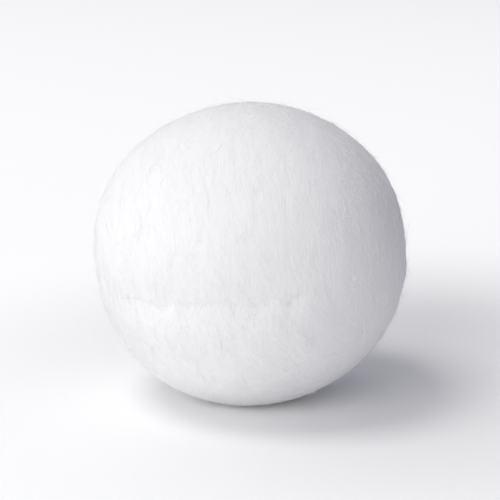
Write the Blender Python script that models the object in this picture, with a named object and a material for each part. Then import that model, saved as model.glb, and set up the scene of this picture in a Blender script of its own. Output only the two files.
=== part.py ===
"""A large cotton ball: loose carded fibre, rolled up from one length of sliver.

The ball is one soft piece. Its fibre is wound round a roll axis that lies nearly level, from left to
right, so a cut square to that axis is one turn of a spiral. The outer end of the winding stops in a soft
lap across the front, a little below the middle: a groove above, a rounded lip below. At each end of the
roll axis the fibre is tucked in, which leaves a shallow dimple with small puckers that swirl into it. The
ball rests on a small flat spot that its own weight presses into it.

Units are metres and +Z is up. The front of the ball faces -Y. The origin is on the surface that the ball
rests on, below the middle of its box.
"""

import math

import bmesh
import bpy
from mathutils import Vector

# The whole ball as it rests: across, from front to back, and from the surface to its top.
BALL_WIDTH = 0.038
BALL_DEPTH = 0.037
BALL_HEIGHT = 0.0362

# The flat spot that the ball rests on, and how far above it the round side still bends to meet it.
FOOT_RADIUS = 0.0045
FOOT_ROUNDING = 0.0003

# The axis that the fibre is wound round. Its right end is a little higher than its left end.
ROLL_TILT = math.radians(6)

# The winding grows by this much in one turn, from under the lap's edge to its top.
WINDING_STEP = 0.00045

# The lap where the winding ends. Its line runs along the roll axis, turned down this far from the front.
# It starts near the left end of the roll and dies away past the middle. Both ends are measured along the
# axis from the middle of the ball, and each fade is the length over which the lap grows or dies away.
LAP_DROP = math.radians(6)
LAP_START = -0.0168
LAP_START_FADE = 0.0075
LAP_END = 0.0125
LAP_END_FADE = 0.012

# The groove along the lap: its depth, its long upper side, and its short lower side that climbs the lip.
GROOVE_DEPTH = 0.00042
GROOVE_UPPER_SIDE = 0.0032
GROOVE_LOWER_SIDE = 0.0015

# The dimples where the ends of the roll are tucked in, and the small puckers that swirl into them. Fewer
# puckers in a second set make the first ones uneven, as fingers leave them.
DIMPLE_DEPTH = 0.00034
DIMPLE_RADIUS = 0.0034
PUCKER_COUNT = 6
UNEVEN_COUNT = 4
PUCKER_DEPTH = 0.00028
PUCKER_REACH = 0.0075
PUCKER_SWIRL = math.radians(75)

# The slow swells of a hand-soft surface, as a few waves that cross the ball in spread-out directions.
SWELL_HEIGHT = 0.000035
SWELL_COUNT = 7
SWELL_LENGTH = 0.02

# The mesh follows the winding, with sides round the roll axis and rings along it. The sides crowd towards
# the lap by this share of their even spacing.
SIDES = 88
RINGS = 48
SIDES_CROWDING = 0.4

COTTON_COLOR = (0.93, 0.93, 0.94, 1.0)
COTTON_ROUGHNESS = 0.95

GOLDEN_ANGLE = math.pi * (3 - math.sqrt(5))
MEAN_RADIUS = (BALL_WIDTH + BALL_DEPTH + BALL_HEIGHT) / 6


def clear_scene():
    """Removes every object, so that the ball is all that the scene holds."""
    for obj in list(bpy.data.objects):
        bpy.data.objects.remove(obj, do_unlink=True)


def smooth_step(value):
    """0 below 0, 1 above 1, and a smooth rise between."""
    value = min(max(value, 0.0), 1.0)
    return value * value * (3 - 2 * value)


def bell(value):
    """1 at 0, falling smoothly on both sides to nearly nothing at 2."""
    return math.exp(-value * value)


def roll_axes():
    """The roll axis, and the front and down directions that are square to it."""
    along = Vector((math.cos(ROLL_TILT), 0, math.sin(ROLL_TILT)))
    front = Vector((0, -1, 0))
    return along, front, along.cross(front)


def lap_strength(station):
    """How much of the lap there is at a station along the roll axis, from 0 to 1."""
    start = smooth_step((station - LAP_START) / LAP_START_FADE)
    end = smooth_step((LAP_END - station) / LAP_END_FADE)
    return start * end


def winding_height(station, girth, turn):
    """The spiral winding and its lap, at a turn below the lap's line and a girth radius round the axis."""
    below = girth * turn
    edge = math.tanh(below / GROOVE_LOWER_SIDE)
    spiral = WINDING_STEP * (edge / 2 - turn / (2 * math.pi))
    side = GROOVE_LOWER_SIDE if below > 0 else GROOVE_UPPER_SIDE
    groove = GROOVE_DEPTH * bell(below / side)
    return lap_strength(station) * (spiral - groove)


def end_height(from_end, turn):
    """The dimple and puckers at an end of the roll, by the distance over the surface from that end."""
    dimple = DIMPLE_DEPTH * bell(from_end / DIMPLE_RADIUS)
    swirl = turn + PUCKER_SWIRL * from_end / PUCKER_REACH
    fold = (2 + math.cos(PUCKER_COUNT * swirl) + math.cos(UNEVEN_COUNT * (swirl + GOLDEN_ANGLE))) / 4
    reach = smooth_step(from_end / DIMPLE_RADIUS) * bell(from_end / PUCKER_REACH)
    return -dimple - PUCKER_DEPTH * fold * reach


def swell_height(direction):
    """The slow swells of the surface in a direction from the middle of the ball."""
    height = 0.0
    for i in range(SWELL_COUNT):
        level = 1 - 2 * (i + 0.5) / SWELL_COUNT
        flat = math.sqrt(1 - level * level)
        around = i * GOLDEN_ANGLE
        crossing = Vector((flat * math.cos(around), flat * math.sin(around), level))
        phase = 2 * math.pi * MEAN_RADIUS * direction.dot(crossing) / SWELL_LENGTH
        height += SWELL_HEIGHT * math.cos(phase + around)
    return height


def surface_point(sphere_point):
    """Moves a point of the unit sphere, whose poles on Z become the roll's ends, to the ball's surface."""
    along, front, down = roll_axes()
    turn = math.atan2(sphere_point.y, sphere_point.x)
    turn -= SIDES_CROWDING * math.sin(turn)
    round_axis = math.hypot(sphere_point.x, sphere_point.y)
    outward = front * math.cos(turn + LAP_DROP) + down * math.sin(turn + LAP_DROP)
    direction = along * sphere_point.z + outward * round_axis
    from_end = MEAN_RADIUS * math.asin(min(round_axis, 1.0))
    height = winding_height(sphere_point.z * MEAN_RADIUS, round_axis * MEAN_RADIUS, turn)
    height += end_height(from_end, turn) + swell_height(direction)
    return direction * (MEAN_RADIUS + height)


def foot_squeeze():
    """How far the weight presses the round underside in, to make a flat spot of the foot's radius."""
    roundness = BALL_WIDTH * BALL_DEPTH / (2 * BALL_HEIGHT)
    return roundness - math.sqrt(roundness ** 2 - FOOT_RADIUS ** 2) + FOOT_ROUNDING


def fit_to_size(mesh):
    """Brings the free form to the ball's box, with what the weight will press flat below Z = 0."""
    low = [min(vert.co[i] for vert in mesh.verts) for i in range(3)]
    high = [max(vert.co[i] for vert in mesh.verts) for i in range(3)]
    size = (BALL_WIDTH, BALL_DEPTH, BALL_HEIGHT + foot_squeeze())
    start = (-BALL_WIDTH / 2, -BALL_DEPTH / 2, -foot_squeeze())
    for vert in mesh.verts:
        for i in range(3):
            vert.co[i] = start[i] + size[i] * (vert.co[i] - low[i]) / (high[i] - low[i])


def press_flat(mesh):
    """Sets the ball down: what lies below Z = 0 becomes flat, and its rim curves up gently."""
    for vert in mesh.verts:
        if vert.co.z <= -FOOT_ROUNDING:
            vert.co.z = 0.0
        elif vert.co.z < FOOT_ROUNDING:
            vert.co.z = (vert.co.z + FOOT_ROUNDING) ** 2 / (4 * FOOT_ROUNDING)


def cotton_material():
    """The matt white of bleached cotton."""
    material = bpy.data.materials.new("cotton")
    material.use_nodes = True
    shader = material.node_tree.nodes["Principled BSDF"]
    shader.inputs["Base Color"].default_value = COTTON_COLOR
    shader.inputs["Roughness"].default_value = COTTON_ROUGHNESS
    shader.inputs["Metallic"].default_value = 0.0
    return material


def build_ball(collection):
    """The cotton ball: a sphere whose poles are the roll's ends, wound, tucked in and set down."""
    shape = bmesh.new()
    bmesh.ops.create_uvsphere(shape, u_segments=SIDES, v_segments=RINGS, radius=1.0)
    for vert in shape.verts:
        vert.co = surface_point(vert.co)
    fit_to_size(shape)
    press_flat(shape)
    mesh = bpy.data.meshes.new("cotton_ball")
    shape.to_mesh(mesh)
    shape.free()
    mesh.shade_smooth()
    mesh.materials.append(cotton_material())
    ball = bpy.data.objects.new("cotton_ball", mesh)
    collection.objects.link(ball)
    return ball


def main():
    clear_scene()
    collection = bpy.data.collections.new("Cotton ball")
    bpy.context.scene.collection.children.link(collection)
    build_ball(collection)


main()
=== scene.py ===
"""The looks of the cotton ball: its wound and tucked surface, its loose fibres, and the studio round it.

Every length is in metres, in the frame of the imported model. The ball's own winding gives the directions
that the surface relief and the fibres follow, so both read the same Winding.
"""

import logging
import math
from dataclasses import dataclass, field
from enum import Enum

import bpy
import numpy as np
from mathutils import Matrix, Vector
from mathutils.bvhtree import BVHTree


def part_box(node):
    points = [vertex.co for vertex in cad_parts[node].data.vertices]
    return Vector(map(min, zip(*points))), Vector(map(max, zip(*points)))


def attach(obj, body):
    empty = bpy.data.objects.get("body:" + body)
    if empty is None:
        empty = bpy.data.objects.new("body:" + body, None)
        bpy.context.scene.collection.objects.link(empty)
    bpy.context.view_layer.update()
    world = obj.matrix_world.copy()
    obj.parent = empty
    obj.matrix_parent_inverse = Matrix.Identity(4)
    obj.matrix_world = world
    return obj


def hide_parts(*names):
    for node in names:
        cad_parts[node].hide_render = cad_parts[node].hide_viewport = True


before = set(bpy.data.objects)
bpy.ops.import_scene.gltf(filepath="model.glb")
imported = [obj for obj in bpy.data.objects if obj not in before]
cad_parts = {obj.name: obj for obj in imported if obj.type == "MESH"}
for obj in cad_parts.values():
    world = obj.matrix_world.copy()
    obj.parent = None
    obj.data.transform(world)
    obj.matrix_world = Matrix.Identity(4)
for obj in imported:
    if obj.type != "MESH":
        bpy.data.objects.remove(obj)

log = logging.getLogger("cotton_ball")

Color = tuple[float, float, float, float]
Given = bpy.types.NodeSocket | float | tuple[float, float, float]

MM = 0.001
BODY = "root"
NODE = "cotton_ball"
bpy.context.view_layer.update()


class FibreLay(Enum):
    """How the fibres of a group run over the ball."""

    WOUND = "along the winding"
    CROSSING = "over the winding at a slant"
    LAPPED = "out of the lap's lip and up over its groove"
    TUCKED = "round an end of the roll and into it"
    STRAY = "rooted at one end, with the other end free"


@dataclass(frozen=True)
class Winding:
    """The axis that the fibre is wound round, and the lap where its outer end lies.

    Attributes:
        middle: The middle of the ball.
        radius: The ball's mean radius.
        tilt: How far the axis rises to the right, in radians.
        lap_drop: How far the lap's line is turned down from the front, in radians.
        lap_start: Where the lap begins, along the axis from the middle.
        lap_end: Where the lap has died away, along the axis from the middle.
    """

    middle: Vector
    radius: float
    tilt: float = math.radians(6)
    lap_drop: float = math.radians(6)
    lap_start: float = -16.8 * MM
    lap_end: float = 12.5 * MM

    @classmethod
    def of_node(cls, node: str) -> "Winding":
        """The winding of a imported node, from its box.

        Args:
            node: The node's name.

        Returns:
            The winding, with its middle and radius.
        """
        low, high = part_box(node)
        return cls(middle=(low + high) / 2, radius=sum(high - low) / 6)

    @property
    def along(self) -> Vector:
        """The direction of the roll axis."""
        return Vector((math.cos(self.tilt), 0, math.sin(self.tilt)))

    @property
    def front(self) -> Vector:
        """The direction out of the front, square to the axis."""
        return Vector((0, -1, 0))

    @property
    def down(self) -> Vector:
        """The direction down across the front, square to the axis."""
        return self.along.cross(self.front)

    def directions(self, stations: np.ndarray, turns: np.ndarray) -> np.ndarray:
        """Unit directions from the middle, by their place on the winding.

        Args:
            stations: Shares of the radius along the axis, from -1 to 1.
            turns: Angles round the axis, from the front downwards, in radians.

        Returns:
            One direction a row.
        """
        outward = np.outer(np.cos(turns), self.front) + np.outer(np.sin(turns), self.down)
        girth = np.sqrt(np.clip(1 - stations**2, 0, 1))
        return np.outer(stations, self.along) + outward * girth[:, None]

    def places(self, points: np.ndarray) -> tuple[np.ndarray, np.ndarray, np.ndarray]:
        """Where points lie on the winding.

        Args:
            points: Points, one a row.

        Returns:
            Their stations along the axis and their girth radii, both as lengths, and their angles below
            the lap's line.
        """
        offset = points - np.array(self.middle)
        station = offset @ np.array(self.along)
        ahead, below = offset @ np.array(self.front), offset @ np.array(self.down)
        turn = np.arctan2(below, ahead) - self.lap_drop
        return station, np.hypot(ahead, below), (turn + math.pi) % (2 * math.pi) - math.pi

    def round_axis(self, directions: np.ndarray) -> np.ndarray:
        """The directions in which the fibre is wound, at some directions from the middle.

        Args:
            directions: Unit directions from the middle, one a row.

        Returns:
            One unit direction a row, square to the first.
        """
        tangent = np.cross(np.array(self.along), directions)
        return tangent / np.linalg.norm(tangent, axis=1, keepdims=True).clip(1e-6)


def select_only(obj: bpy.types.Object) -> None:
    """Makes an object the one selected and active object.

    Args:
        obj: The object.
    """
    bpy.ops.object.select_all(action="DESELECT")
    obj.select_set(True)
    bpy.context.view_layer.objects.active = obj


def apply_modifiers(obj: bpy.types.Object) -> None:
    """Applies all of an object's modifiers, in order.

    Args:
        obj: The object.
    """
    select_only(obj)
    for modifier in list(obj.modifiers):
        bpy.ops.object.modifier_apply(modifier=modifier.name)


def vertex_places(mesh: bpy.types.Mesh) -> np.ndarray:
    """The places of a mesh's vertices.

    Args:
        mesh: The mesh.

    Returns:
        One place a row.
    """
    places = np.empty(len(mesh.vertices) * 3, np.float32)
    mesh.vertices.foreach_get("co", places)
    return places.reshape(-1, 3).astype(float)


def smooth_step(values: np.ndarray) -> np.ndarray:
    """0 below 0, 1 above 1, and a smooth rise between, for each value."""
    values = np.clip(values, 0, 1)
    return values * values * (3 - 2 * values)


class NodeBuilder:
    """Adds nodes and links to one node tree."""

    def __init__(self, tree: bpy.types.NodeTree) -> None:
        """Keeps the tree to add to.

        Args:
            tree: The node tree.
        """
        self.tree = tree

    def add(self, kind: str, settings: dict | None = None, inputs: dict | None = None) -> bpy.types.Node:
        """Adds a node.

        Args:
            kind: The node's type name.
            settings: Properties to set on it.
            inputs: What its sockets get, by name or number: an output socket to link, or a value.

        Returns:
            The node.
        """
        node = self.tree.nodes.new(kind)
        for name, value in (settings or {}).items():
            setattr(node, name, value)
        for name, value in (inputs or {}).items():
            if isinstance(value, bpy.types.NodeSocket):
                self.tree.links.new(value, node.inputs[name])
            else:
                node.inputs[name].default_value = value
        return node

    def number(self, operation: str, first: Given, second: Given) -> bpy.types.NodeSocket:
        """The result of an operation on two numbers."""
        return self.add("ShaderNodeMath", {"operation": operation}, {0: first, 1: second}).outputs[0]

    def vector(self, operation: str, first: Given, second: Given) -> bpy.types.NodeSocket:
        """The result of an operation on two vectors."""
        return self.add("ShaderNodeVectorMath", {"operation": operation}, {0: first, 1: second}).outputs[0]

    def noise(self, place: Given, scale: float, detail: float, roughness: float = 0.5) -> bpy.types.Node:
        """Adds soft noise in three dimensions.

        Args:
            place: Where it is read.
            scale: How closely it changes.
            detail: How many finer layers it has.
            roughness: How strong the finer layers are.

        Returns:
            The node.
        """
        inputs = {"Vector": place, "Scale": scale, "Detail": detail, "Roughness": roughness}
        return self.add("ShaderNodeTexNoise", {"noise_dimensions": "3D"}, inputs)

    def seen(self) -> bpy.types.NodeSocket:
        """1 for what is seen, also in a reflection or through glass, and 0 for what lights the ball.

        Returns:
            The number's socket.
        """
        ray = self.add("ShaderNodeLightPath").outputs
        direct = self.number("MAXIMUM", ray["Is Camera Ray"], ray["Is Glossy Ray"])
        return self.number("MAXIMUM", direct, ray["Is Transmission Ray"])


@dataclass(frozen=True)
class FibreRelief:
    """The node group that gives the fine lie of wound fibre, as a height and a mask for the colour.

    The height feeds the wound surface's bump. The mask greys the colour where the height is low: on the wound
    surface that is painted shade in the hollows of the relief, and on the loose fibres, which have no relief,
    a tone that changes at random.

    Attributes:
        name: The group's name.
        drift_scale: How closely the streaks' sideways drift changes.
        crossing_turn: How far the crossing streaks are turned from the wound ones, in radians.
        drift_detail: How many finer layers that drift has.
        wound_detail: How many finer layers the wound streaks have, and how strong they are.
        crossing_detail: The same for the crossing streaks.
        lowest: The height at which the colour mask is 0, the greyest.
        highest: The height at which it is 1, the cotton's own white.
    """

    name: str = "Fibre relief"
    drift_scale: float = 260.0
    crossing_turn: tuple[float, float, float] = (0.0, 0.32, 0.4)
    drift_detail: float = 2.0
    wound_detail: tuple[float, float] = (4.0, 0.62)
    crossing_detail: tuple[float, float] = (3.0, 0.6)
    lowest: float = 0.38
    highest: float = 0.72

    def build(self) -> bpy.types.ShaderNodeTree:
        """Builds the group.

        Returns:
            The group, with the inputs Vector, Fibre Width, Stretch and Wander, and the outputs Height and
            Streak.
        """
        group = bpy.data.node_groups.new(self.name, "ShaderNodeTree")
        socket = group.interface.new_socket
        socket("Vector", in_out="INPUT", socket_type="NodeSocketVector")
        for name in ("Fibre Width", "Stretch", "Wander"):
            socket(name, in_out="INPUT", socket_type="NodeSocketFloat")
        for name in ("Height", "Shade And Tone Mask"):
            socket(name, in_out="OUTPUT", socket_type="NodeSocketFloat")
        nodes = NodeBuilder(group)
        given = nodes.add("NodeGroupInput").outputs
        drift = nodes.noise(given["Vector"], self.drift_scale, self.drift_detail).outputs["Color"]
        centred = nodes.vector("SUBTRACT", drift, (0.5, 0.5, 0.5))
        pushed = nodes.add(
            "ShaderNodeVectorMath", {"operation": "SCALE"}, {0: centred, "Scale": given["Wander"]}
        )
        moved = nodes.vector("ADD", given["Vector"], pushed.outputs[0])
        across = nodes.number("DIVIDE", 1.0, given["Fibre Width"])
        lengthwise = nodes.number("DIVIDE", across, given["Stretch"])
        scale = nodes.add("ShaderNodeCombineXYZ", {}, {0: across, 1: lengthwise, 2: lengthwise}).outputs[0]
        fibres = nodes.noise(nodes.vector("MULTIPLY", moved, scale), 1.0, *self.wound_detail)
        turned = nodes.add(
            "ShaderNodeVectorRotate",
            {"rotation_type": "EULER_XYZ"},
            {"Vector": moved, "Rotation": self.crossing_turn},
        )
        across_them = nodes.vector("MULTIPLY", turned.outputs[0], scale)
        crossing = nodes.noise(across_them, 1.0, *self.crossing_detail)
        height = nodes.number("MAXIMUM", fibres.outputs["Fac"], crossing.outputs["Fac"])
        # The colour mask: 0 where the relief is low, which greys the wound surface there as painted shade,
        # and 1 where it is high.
        streak = nodes.add(
            "ShaderNodeMapRange", {}, {"Value": height, "From Min": self.lowest, "From Max": self.highest}
        )
        nodes.add("NodeGroupOutput", {}, {"Height": height, "Shade And Tone Mask": streak.outputs["Result"]})
        return group


@dataclass(frozen=True)
class CottonFinish:
    """Bleached cotton: matt, white, softly lit through, with the sheen of fine fibre.

    Attributes:
        name: The material's name.
        light: The colour where the fibre relief is high: the cotton's own white.
        hollow_shade_and_tone: The colour where the relief is low, a little greyer. On the wound surface it is
            painted shade in the hollows of the bump relief; on the loose fibres, which have no relief, it is
            a tone that changes at random along them.
        fibre_width: The width of one streak of fibre.
        stretch: How many times longer than wide a streak is.
        wander: How far streaks wander sideways.
        relief: The depth of the fine relief, 0 for none.
        roughness: How matt the fibres are.
        specular: How much of the plain gloss they have.
        sheen: How strong their soft sheen is.
        sheen_roughness: How wide the sheen spreads.
        subsurface: The share of the light that goes into the cotton.
        light_reach: How far it spreads in there, for red, green and blue.
    """

    name: str
    light: Color = (0.955, 0.955, 0.96, 1.0)
    hollow_shade_and_tone: Color = (0.91, 0.91, 0.917, 1.0)
    fibre_width: float = 0.26 * MM
    stretch: float = 10.0
    wander: float = 1.2 * MM
    relief: float = 0.06 * MM
    roughness: float = 0.95
    specular: float = 0.15
    sheen: float = 0.15
    sheen_roughness: float = 0.45
    subsurface: float = 0.35
    light_reach: tuple[float, float, float] = (0.6 * MM, 0.6 * MM, 0.63 * MM)

    def build(self, relief_group: bpy.types.ShaderNodeTree, winding: Winding) -> bpy.types.Material:
        """Builds the material.

        Args:
            relief_group: The fibre relief's node group.
            winding: The winding that the streaks follow.

        Returns:
            The material.
        """
        material = bpy.data.materials.new(self.name)
        material.use_nodes = True
        material.node_tree.nodes.clear()
        nodes = NodeBuilder(material.node_tree)
        place = nodes.add("ShaderNodeTexCoord")
        level = nodes.add(
            "ShaderNodeMapping",
            {"vector_type": "TEXTURE"},
            {
                "Vector": place.outputs["Object"],
                "Location": winding.middle,
                "Rotation": (0.0, -winding.tilt, 0.0),
            },
        )
        relief = nodes.add(
            "ShaderNodeGroup",
            {"node_tree": relief_group},
            {
                "Vector": level.outputs["Vector"],
                "Fibre Width": self.fibre_width,
                "Stretch": self.stretch,
                "Wander": self.wander,
            },
        )
        # Painted shade: the wound surface is greyer where its bump relief is low, in the hollows between
        # fibres. The loose fibres have no relief, so on them this mix is a tone that changes at random.
        shade_and_tone_mix = nodes.add("ShaderNodeMix", {"data_type": "RGBA"}, {"Factor": relief.outputs["Shade And Tone Mask"]})
        shade_and_tone_mix.inputs["A"].default_value = self.hollow_shade_and_tone
        shade_and_tone_mix.inputs["B"].default_value = self.light
        shader = nodes.add(
            "ShaderNodeBsdfPrincipled",
            {"subsurface_method": "RANDOM_WALK"},
            {
                "Base Color": shade_and_tone_mix.outputs["Result"],
                "Roughness": self.roughness,
                "Specular IOR Level": self.specular,
                "Sheen Weight": self.sheen,
                "Sheen Roughness": self.sheen_roughness,
                "Subsurface Weight": self.subsurface,
                "Subsurface Radius": self.light_reach,
                "Subsurface Scale": 1.0,
            },
        )
        if self.relief > 0:
            height = {"Strength": 1.0, "Distance": self.relief, "Height": relief.outputs["Height"]}
            bump = nodes.add("ShaderNodeBump", {}, height)
            nodes.tree.links.new(bump.outputs["Normal"], shader.inputs["Normal"])
        nodes.add("ShaderNodeOutputMaterial", {}, {"Surface": shader.outputs["BSDF"]})
        return material


@dataclass(frozen=True)
class ReliefLayer:
    """One layer of soft relief in the wound surface.

    Attributes:
        name: What the layer is.
        across: The size of its bumps across the winding.
        stretch: How many times longer they are along the winding.
        height: The height from hollow to top.
        slant: How far the layer's own winding is turned from the ball's, in radians.
    """

    name: str
    across: float
    stretch: float
    height: float
    slant: float = 0.0


@dataclass
class WoundBody:
    """The body of the ball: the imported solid's form with the relief of wound fibre in it.

    Attributes:
        winding: The winding that it follows.
        sides: Faces round the roll axis.
        rings: Faces along the roll axis.
        reach: How far outside the solid the primitive starts, before it is wrapped on.
        merge_distance: How close corners of the solid are to count as one.
        rounding: How often the solid's copy is subdivided.
        ease: How strongly the wrapped surface is smoothed, and how often.
        layers: The soft relief, from broad to fine.
        layer_detail: How many finer layers each layer has.
        edge_depth: The depth of the narrow line under the lap's edge.
        edge_width: The width of that line.
        edge_wander: How far the line wanders up and down.
        edge_waves: The rate, start and strength of each wave in which it wanders.
        edge_beat: The rate of the wave in which its depth changes, and the share that changes.
        edge_growth: The length over which the line and the lip grow at the lap's start.
        edge_fading: The length over which they die away at its end.
        lip_height: How far the rounded lip below the line bulges.
        lip_below: How far below the line the lip is highest.
        lip_width: How wide the lip is.
    """

    winding: Winding
    sides: int = 312
    rings: int = 308
    reach: float = 3 * MM
    merge_distance: float = 0.001 * MM
    rounding: int = 2
    ease: tuple[float, int] = (0.5, 3)
    layers: tuple[ReliefLayer, ...] = (
        ReliefLayer("pillows", 6 * MM, 1.3, 0.16 * MM),
        ReliefLayer("folds", 2.6 * MM, 4.0, 0.08 * MM, math.radians(7)),
        ReliefLayer("bundles", 1.1 * MM, 6.0, 0.045 * MM, math.radians(-9)),
        ReliefLayer("threads", 0.5 * MM, 8.0, 0.026 * MM, math.radians(4)),
    )
    layer_detail: int = 2
    edge_depth: float = 0.16 * MM
    edge_width: float = 0.4 * MM
    edge_wander: float = 0.35 * MM
    edge_waves: tuple[tuple[float, float, float], ...] = ((9.0, 0.6, 1.0), (23.0, 2.1, 0.6))
    edge_beat: tuple[float, float] = (31.0, 0.3)
    edge_growth: float = 5 * MM
    edge_fading: float = 9 * MM
    lip_height: float = 0.28 * MM
    lip_below: float = 3.4 * MM
    lip_width: float = 2.6 * MM

    def solid_copy(self) -> bpy.types.Object:
        """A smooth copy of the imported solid, to wrap the surface on.

        Returns:
            The copy, which is removed once the surface is made.
        """
        solid = bpy.data.objects.new("solid_copy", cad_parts[NODE].data.copy())
        bpy.context.scene.collection.objects.link(solid)
        select_only(solid)
        bpy.ops.object.mode_set(mode="EDIT")
        bpy.ops.mesh.select_all(action="SELECT")
        bpy.ops.mesh.remove_doubles(threshold=self.merge_distance)
        bpy.ops.mesh.tris_convert_to_quads()
        bpy.ops.object.mode_set(mode="OBJECT")
        rounding = solid.modifiers.new("rounding", "SUBSURF")
        rounding.levels = rounding.render_levels = self.rounding
        apply_modifiers(solid)
        return solid

    def wrap(self, solid: bpy.types.Object) -> bpy.types.Object:
        """Wraps a sphere, whose poles are the roll's ends, on the solid.

        Args:
            solid: The smooth copy of the solid.

        Returns:
            The wrapped surface.
        """
        bpy.ops.mesh.primitive_uv_sphere_add(
            segments=self.sides,
            ring_count=self.rings,
            radius=self.winding.radius + self.reach,
            location=self.winding.middle,
            rotation=(0, math.pi / 2 - self.winding.tilt, 0),
        )
        surface = bpy.context.object
        surface.name = surface.data.name = "wound_body"
        bpy.ops.object.transform_apply(location=True, rotation=True, scale=True)
        wrap = surface.modifiers.new("wrap", "SHRINKWRAP")
        wrap.target = solid
        wrap.wrap_method = "PROJECT"
        wrap.use_negative_direction = True
        wrap.use_positive_direction = False
        ease = surface.modifiers.new("ease", "SMOOTH")
        ease.factor, ease.iterations = self.ease
        apply_modifiers(surface)
        return surface

    def add_relief(self, surface: bpy.types.Object) -> None:
        """Adds the layers of soft relief.

        Args:
            surface: The wrapped surface.
        """
        guides = []
        for layer in self.layers:
            guide = bpy.data.objects.new(f"guide_{layer.name}", None)
            bpy.context.scene.collection.objects.link(guide)
            guide.location = self.winding.middle
            guide.rotation_euler = (0, -self.winding.tilt + layer.slant, layer.slant)
            guide.scale = (layer.across, layer.across * layer.stretch, layer.across * layer.stretch)
            guides.append(guide)
            texture = bpy.data.textures.new(layer.name, "CLOUDS")
            texture.noise_basis = "IMPROVED_PERLIN"
            texture.noise_scale = 1.0
            texture.noise_depth = self.layer_detail
            displace = surface.modifiers.new(layer.name, "DISPLACE")
            displace.texture = texture
            displace.texture_coords = "OBJECT"
            displace.texture_coords_object = guide
            displace.mid_level = 0.5
            displace.strength = layer.height
        bpy.context.view_layer.update()
        apply_modifiers(surface)
        for guide in guides:
            bpy.data.objects.remove(guide)

    def tuck_lap(self, surface: bpy.types.Object) -> None:
        """Presses the narrow line in under the lap's edge, raises its lip, and keeps the foot level.

        Args:
            surface: The surface with its relief.
        """
        places = vertex_places(surface.data)
        station, girth, turn = self.winding.places(places)
        share = station / self.winding.radius
        waves = sum(strength * np.sin(rate * share + start) for rate, start, strength in self.edge_waves)
        wander = self.edge_wander * waves
        below = girth * turn - wander
        near = np.exp(-((below / self.edge_width) ** 2))
        along = smooth_step((station - self.winding.lap_start) / self.edge_growth)
        along *= smooth_step((self.winding.lap_end - station) / self.edge_fading)
        rate, beat = self.edge_beat
        depth = self.edge_depth * near * along * (1 - beat + beat * np.sin(rate * share))
        depth -= self.lip_height * along * np.exp(-(((below - self.lip_below) / self.lip_width) ** 2))
        outward = places - np.array(self.winding.middle)
        outward /= np.linalg.norm(outward, axis=1, keepdims=True)
        places -= outward * depth[:, None]
        places[:, 2] = np.maximum(places[:, 2], 0.0)
        surface.data.vertices.foreach_set("co", places.astype(np.float32).ravel())
        surface.data.update()

    def build(self, finish: bpy.types.Material) -> bpy.types.Object:
        """Builds and dresses the body.

        Args:
            finish: Its material.

        Returns:
            The body.
        """
        solid = self.solid_copy()
        surface = self.wrap(solid)
        bpy.data.objects.remove(solid)
        self.add_relief(surface)
        self.tuck_lap(surface)
        surface.data.shade_smooth()
        surface.data.materials.append(finish)
        return surface


# Where fibres start. Spread-out ones keep within this share of the way from the middle to the roll's ends.
# Wisps stop at this share of the way from the middle to the lap's end, and start this far below its line.
# Tucked ones start at these angles from the roll's end, in radians.
ROOT_LIMIT = 0.995
WISP_SPAN = 0.75
WISP_ROOTS = (0.8 * MM, 4.5 * MM)
TUCKED_ROOTS = (0.05, 0.5)

# How fibres run: the heading of tucked ones from the way the ball is wound, in radians, how many times a
# fibre bends to and fro, how late a stray fibre rises, how early the others do, and how slowly a fibre
# narrows towards its ends (the lower, the later).
TUCKED_HEADING = -0.7
BENDS = (0.5, 1.6)
STRAY_RISE = 1.4
ARCH_RISE = 0.8
TAPER = 0.4


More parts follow.
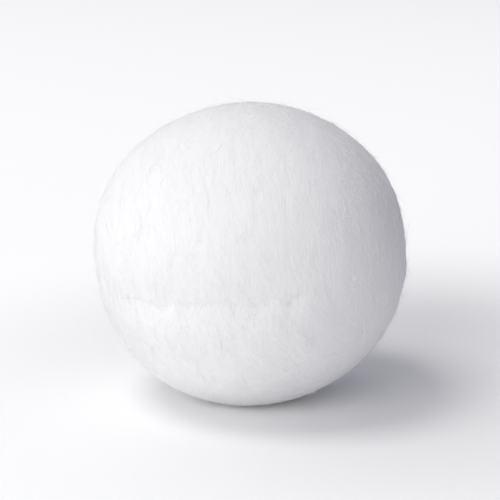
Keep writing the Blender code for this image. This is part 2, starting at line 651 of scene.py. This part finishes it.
@dataclass
class FibreGroup:
    """A group of loose fibres on the ball, each a thin, flat, twisted ribbon with closed ends.

    Attributes:
        name: The piece's name.
        lay: How the fibres run.
        count: How many there are.
        length: The shortest and longest.
        lift: How far the least and most lifted stand off the surface.
        slant: How much their directions spread from their lay, in radians.
        crimp: How much each one bends from side to side, in radians.
        seed: What its random choices start from.
        width: The width of a fibre.
        points: The points along each fibre.
        end_side: The end of the roll that a tucked group is at, -1 or 1.
        sunk: How deep the roots lie under the surface.
        twist: How much the flat tops lean to one side or the other, in radians.
        random: The group's own random numbers.
    """

    name: str
    lay: FibreLay
    count: int
    length: tuple[float, float]
    lift: tuple[float, float]
    slant: float
    crimp: float
    seed: int
    width: float = 0.024 * MM
    points: int = 9
    end_side: int = 1
    sunk: float = 0.03 * MM
    twist: float = 0.3
    random: np.random.Generator = field(init=False, repr=False)

    def __post_init__(self) -> None:
        """Starts the group's own random numbers."""
        self.random = np.random.default_rng(self.seed)

    def spread(self, low: float, high: float) -> np.ndarray:
        """One random number for each fibre, evenly spread between two limits."""
        return self.random.uniform(low, high, self.count)

    def starts(self, winding: Winding) -> np.ndarray:
        """Where the fibres start, as directions from the ball's middle.

        Args:
            winding: The ball's winding.

        Returns:
            One direction a row.
        """
        if self.lay is FibreLay.LAPPED:
            stations = self.spread(winding.lap_start, winding.lap_end * WISP_SPAN) / winding.radius
            turns = winding.lap_drop + self.spread(*WISP_ROOTS) / winding.radius
        elif self.lay is FibreLay.TUCKED:
            stations = self.end_side * np.cos(self.spread(*TUCKED_ROOTS))
            turns = self.spread(0, 2 * math.pi)
        else:
            stations = self.spread(-ROOT_LIMIT, ROOT_LIMIT)
            turns = self.spread(0, 2 * math.pi)
        return winding.directions(stations, turns)

    def headings(self) -> np.ndarray:
        """The angle of each fibre from the way the ball is wound.

        Returns:
            One angle for each fibre.
        """
        backwards = self.random.integers(0, 2, self.count) * math.pi
        settled = {FibreLay.LAPPED: math.pi, FibreLay.TUCKED: self.end_side * TUCKED_HEADING}
        bias = settled.get(self.lay, backwards)
        return bias + self.random.normal(0, self.slant, self.count)

    def lifts(self, share: float, heights: np.ndarray) -> np.ndarray:
        """How far the fibres stand off the surface at a share of their length.

        Args:
            share: The share, from 0 at the root to 1 at the tip.
            heights: The most that each fibre stands off.

        Returns:
            One height for each fibre.
        """
        if self.lay is FibreLay.STRAY:
            return heights * share**STRAY_RISE - self.sunk * (1 - share)
        return (heights + self.sunk) * math.sin(math.pi * share) ** ARCH_RISE - self.sunk

    def paths(self, winding: Winding, surface: BVHTree) -> np.ndarray:
        """The points along every fibre.

        Args:
            winding: The ball's winding.
            surface: The body's surface.

        Returns:
            An array of fibres by points by three.
        """
        direction = self.starts(winding)
        heading = self.headings()
        step = self.spread(*self.length) / (self.points - 1) / winding.radius
        heights = self.spread(0, 1) ** 2 * (self.lift[1] - self.lift[0]) + self.lift[0]
        bend, phase = self.spread(*BENDS), self.spread(0, 2 * math.pi)
        middle = np.array(winding.middle)
        reach = 2 * winding.radius
        paths = np.empty((self.count, self.points, 3))
        for k in range(self.points):
            share = k / (self.points - 1)
            lift = self.lifts(share, heights)
            for i, way in enumerate(direction):
                outside = winding.middle + Vector(way) * reach
                hit = surface.ray_cast(outside, -Vector(way))[0]
                paths[i, k] = middle + way * ((hit - winding.middle).length + lift[i])
            wound = winding.round_axis(direction)
            across = np.cross(direction, wound)
            angle = heading + self.crimp * np.sin(2 * math.pi * bend * share + phase)
            way = wound * np.cos(angle)[:, None] + across * np.sin(angle)[:, None]
            direction = direction + way * step[:, None]
            direction /= np.linalg.norm(direction, axis=1, keepdims=True)
        paths[..., 2] = np.maximum(paths[..., 2], self.width)
        return paths

    def rings(self, paths: np.ndarray, middle: np.ndarray) -> np.ndarray:
        """The three corners of every fibre's section, at each of its points between the ends.

        Each section is a flat top, turned by the fibre's own twist, over a low keel.

        Args:
            paths: The points along every fibre.
            middle: The middle of the ball.

        Returns:
            An array of fibres by inner points by three corners by three.
        """
        inner = paths[:, 1:-1]
        forward = paths[:, 2:] - paths[:, :-2]
        forward /= np.linalg.norm(forward, axis=2, keepdims=True)
        outward = inner - middle
        side = np.cross(forward, outward)
        side /= np.linalg.norm(side, axis=2, keepdims=True)
        top = np.cross(side, forward)
        twist = self.random.normal(0, self.twist, self.count)[:, None, None]
        side, top = side * np.cos(twist) + top * np.sin(twist), top * np.cos(twist) - side * np.sin(twist)
        share = np.linspace(0, 1, self.points)[1:-1]
        width = self.width * np.sin(math.pi * share)[None, :, None] ** TAPER
        corners = (side * width / 2, -side * width / 2, -top * width / 2)
        return np.stack([inner + corner for corner in corners], axis=2)

    def faces(self) -> list[tuple[int, ...]]:
        """The faces of one closed fibre: its first point, its rings and its last point.

        Returns:
            The faces, as numbers of the fibre's vertices.
        """
        last = 1 + 3 * (self.points - 2)
        faces = []
        for corner in range(3):
            following = (corner + 1) % 3
            faces.append((0, 1 + corner, 1 + following))
            faces.append((last, last - 3 + following, last - 3 + corner))
            for ring in range(self.points - 3):
                first = 1 + 3 * ring
                faces.append((first + corner, first + 3 + corner, first + 3 + following, first + following))
        return faces

    def build(self, winding: Winding, surface: BVHTree, finish: bpy.types.Material) -> bpy.types.Object:
        """Builds and dresses the group.

        Args:
            winding: The ball's winding.
            surface: The body's surface.
            finish: The fibres' material.

        Returns:
            The group, as one mesh of separate fibres.
        """
        paths = self.paths(winding, surface)
        rings = self.rings(paths, np.array(winding.middle)).reshape(self.count, -1, 3)
        places = np.concatenate([paths[:, :1], rings, paths[:, -1:]], axis=1)
        places[..., 2] = np.maximum(places[..., 2], 0.0)
        one = self.faces()
        each = places.shape[1]
        faces = [tuple(each * i + corner for corner in face) for i in range(self.count) for face in one]
        mesh = bpy.data.meshes.new(self.name)
        mesh.from_pydata(places.reshape(-1, 3).tolist(), [], faces)
        mesh.materials.append(finish)
        fibres = bpy.data.objects.new(self.name, mesh)
        bpy.context.scene.collection.objects.link(fibres)
        return fibres


@dataclass(frozen=True)
class Lamp:
    """A soft square lamp.

    Attributes:
        name: The lamp's name.
        side: Its angle round the ball from the front, to the left, in radians.
        height: Its angle above level, in radians.
        width: Its width.
        power: Its power, in watts.
        distance: Its distance from the ball.
        color: The colour of its light.
    """

    name: str
    side: float
    height: float
    width: float
    power: float
    distance: float = 3.0
    color: tuple[float, float, float] = (1.0, 0.985, 0.955)


@dataclass(frozen=True)
class Studio:
    """A white floor, soft light from the upper left, and the camera.

    Attributes:
        subject: The middle of the ball.
        ball_width: The ball's width.
        lens: The camera's focal length, in millimetres.
        sensor: The width of the camera's sensor, in millimetres.
        camera_height: The camera's angle above level, in radians.
        nearest: How near the camera still sees.
        fill: How much of the picture's width the ball takes.
        lamps: The lamps that light the ball.
        fill_light: The colour and strength of the light from all round.
        backdrop: How white the backdrop shows.
        floor_width: The floor's width.
        floor_paint: The floor's colour.
        shadow_middle: The middle of the ball's shadow on the floor, where the floor's glow is lowest.
        near_reach: How far from there the floor's glow starts to grow.
        far_reach: How far from there it is whole.
        glow_color: The colour of the floor's glow, which is only seen and lights nothing.
        painted_shadow_glow: The floor's glow in the shadow, kept low so that it paints a deeper shadow there.
        far_glow: The floor's glow far from the shadow, which makes the floor show white.
    """

    subject: Vector
    ball_width: float
    lens: float = 110.0
    sensor: float = 36.0
    camera_height: float = math.radians(13)
    nearest: float = 0.01
    fill: float = 0.62
    lamps: tuple[Lamp, ...] = (
        Lamp("high_lamp", math.radians(78), math.radians(66), 1.3, 28.5),
        Lamp("front_lamp", math.radians(36), math.radians(18), 2.2, 54.0),
        Lamp("back_lamp", math.radians(150), math.radians(60), 2.2, 9.0),
    )
    fill_light: Color = (0.225, 0.229, 0.27, 1.0)
    backdrop: float = 0.98
    floor_width: float = 8.0
    floor_paint: Color = (0.96, 0.96, 0.963, 1.0)
    shadow_middle: tuple[float, float, float] = (0.018, 0.008, 0.0)
    near_reach: float = 0.01
    far_reach: float = 0.08
    glow_color: Color = (1.0, 0.995, 0.97, 1.0)
    painted_shadow_glow: float = 0.025
    far_glow: float = 0.27

    def build_floor(self) -> bpy.types.Object:
        """The floor, which shows a little whiter than it lights the ball. Its glow is lower round the ball's
        shadow, which paints a deeper shadow there.

        Returns:
            The floor.
        """
        bpy.ops.mesh.primitive_plane_add(size=self.floor_width, location=(0, 0, 0))
        floor = bpy.context.object
        floor.name = "studio_floor"
        material = bpy.data.materials.new("studio_floor")
        material.use_nodes = True
        material.node_tree.nodes.clear()
        nodes = NodeBuilder(material.node_tree)
        place = nodes.add("ShaderNodeTexCoord")
        away = nodes.add(
            "ShaderNodeVectorMath",
            {"operation": "DISTANCE"},
            {0: place.outputs["Object"], 1: self.shadow_middle},
        )
        # Painted shadow: the floor's glow is lower near the ball's shadow, so the floor shows darker there
        # than its light alone makes it.
        glow = nodes.add(
            "ShaderNodeMapRange",
            {"interpolation_type": "SMOOTHSTEP"},
            {
                "Value": away.outputs["Value"],
                "From Min": self.near_reach,
                "From Max": self.far_reach,
                "To Min": self.painted_shadow_glow,
                "To Max": self.far_glow,
            },
        )
        strength = nodes.number("MULTIPLY", nodes.seen(), glow.outputs["Result"])
        paint = nodes.add("ShaderNodeBsdfDiffuse", {}, {"Color": self.floor_paint})
        lift = nodes.add("ShaderNodeEmission", {}, {"Color": self.glow_color, "Strength": strength})
        both = nodes.add("ShaderNodeAddShader", {}, {0: paint.outputs[0], 1: lift.outputs[0]})
        nodes.add("ShaderNodeOutputMaterial", {}, {"Surface": both.outputs[0]})
        floor.data.materials.append(material)
        return floor

    def build_world(self) -> None:
        """The soft fill light from all round, which shows as a white backdrop."""
        world = bpy.data.worlds.new("studio")
        world.use_nodes = True
        world.node_tree.nodes.clear()
        nodes = NodeBuilder(world.node_tree)
        backdrop = (self.backdrop, self.backdrop, self.backdrop, 1.0)
        light = nodes.add("ShaderNodeBackground", {}, {"Color": self.fill_light, "Strength": 1.0}).outputs[0]
        white = nodes.add("ShaderNodeBackground", {}, {"Color": backdrop, "Strength": 1.0}).outputs[0]
        mixed = nodes.add("ShaderNodeMixShader", {}, {0: nodes.seen(), 1: light, 2: white})
        nodes.add("ShaderNodeOutputWorld", {}, {"Surface": mixed.outputs[0]})
        bpy.context.scene.world = world

    def add_lamp(self, lamp: Lamp) -> None:
        """Adds a lamp that faces the ball.

        Args:
            lamp: What the lamp is like.
        """
        level = math.cos(lamp.height)
        way = Vector((-math.sin(lamp.side) * level, -math.cos(lamp.side) * level, math.sin(lamp.height)))
        data = bpy.data.lights.new(lamp.name, "AREA")
        data.size = lamp.width
        data.energy = lamp.power
        data.color = lamp.color
        light = bpy.data.objects.new(lamp.name, data)
        light.location = self.subject + way * lamp.distance
        light.rotation_euler = (-way).to_track_quat("-Z", "Y").to_euler()
        bpy.context.scene.collection.objects.link(light)

    def build_camera(self) -> bpy.types.Object:
        """The camera, at the height that the photograph looks from.

        Returns:
            The camera.
        """
        data = bpy.data.cameras.new("camera")
        data.lens = self.lens
        data.sensor_width = self.sensor
        data.clip_start = self.nearest
        camera = bpy.data.objects.new("camera", data)
        way = Vector((0, -math.cos(self.camera_height), math.sin(self.camera_height)))
        distance = self.ball_width / self.fill * self.lens / self.sensor
        camera.location = self.subject + way * distance
        camera.rotation_euler = (-way).to_track_quat("-Z", "Y").to_euler()
        bpy.context.scene.collection.objects.link(camera)
        bpy.context.scene.camera = camera
        return camera

    def build(self) -> None:
        """Builds the floor, the light and the camera, and sets how colours show."""
        self.build_floor()
        self.build_world()
        for lamp in self.lamps:
            self.add_lamp(lamp)
        self.build_camera()
        bpy.context.scene.view_settings.view_transform = "Standard"


@dataclass
class CottonBall:
    """The whole ball: its wound body and all its loose fibres.

    Attributes:
        winding: The ball's winding.
        body: Its body.
        groups: Its groups of loose fibres.
        wound: The finish of the body.
        loose: The finish of the loose fibres.
    """

    winding: Winding
    body: WoundBody
    groups: tuple[FibreGroup, ...] = (
        FibreGroup("winding_nap", FibreLay.WOUND, 3600, (2.5 * MM, 7 * MM), (0.0, 0.1 * MM), 0.25, 0.35, 11),
        FibreGroup("crossing_nap", FibreLay.CROSSING, 1500, (2 * MM, 5 * MM), (0.0, 0.12 * MM), 1.0, 0.6, 13),
        FibreGroup("lap_wisps", FibreLay.LAPPED, 160, (2 * MM, 6 * MM), (0.0, 0.12 * MM), 0.35, 0.4, 14),
        FibreGroup(
            "left_end_swirl", FibreLay.TUCKED, 300, (3 * MM, 7 * MM), (0.0, 0.12 * MM), 0.4, 0.4, 15,
            end_side=-1,
        ),
        FibreGroup("right_end_swirl", FibreLay.TUCKED, 300, (3 * MM, 7 * MM), (0.0, 0.12 * MM), 0.4, 0.4, 16),
        FibreGroup(
            "stray_fibres", FibreLay.STRAY, 900, (2.5 * MM, 7 * MM), (0.2 * MM, 1.3 * MM), 1.2, 0.9, 17,
            twist=1.5,
        ),
        FibreGroup(
            "fuzz", FibreLay.STRAY, 4200, (0.8 * MM, 2.6 * MM), (0.1 * MM, 0.7 * MM), 1.6, 1.2, 18,
            width=0.02 * MM, twist=1.5,
        ),
    )
    wound: CottonFinish = CottonFinish("wound_cotton")
    loose: CottonFinish = CottonFinish(
        "loose_cotton", light=(0.96, 0.96, 0.962, 1.0), fibre_width=0.5 * MM, relief=0.0, subsurface=0.0
    )

    def build(self) -> list[bpy.types.Object]:
        """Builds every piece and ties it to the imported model.

        Returns:
            The pieces.
        """
        relief = FibreRelief().build()
        loose = self.loose.build(relief, self.winding)
        body = self.body.build(self.wound.build(relief, self.winding))
        surface = BVHTree.FromObject(body, bpy.context.evaluated_depsgraph_get())
        pieces = [body] + [group.build(self.winding, surface, loose) for group in self.groups]
        for piece in pieces:
            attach(piece, BODY)
            log.info("%s: %d faces", piece.name, len(piece.data.polygons))
        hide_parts(NODE)
        return pieces


def main() -> None:
    """Builds the ball and the studio."""
    logging.basicConfig(level=logging.INFO, format="%(message)s")
    winding = Winding.of_node(NODE)
    low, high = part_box(NODE)
    CottonBall(winding, WoundBody(winding)).build()
    Studio(subject=winding.middle, ball_width=high.x - low.x).build()


if __name__ == "__main__":
    main()
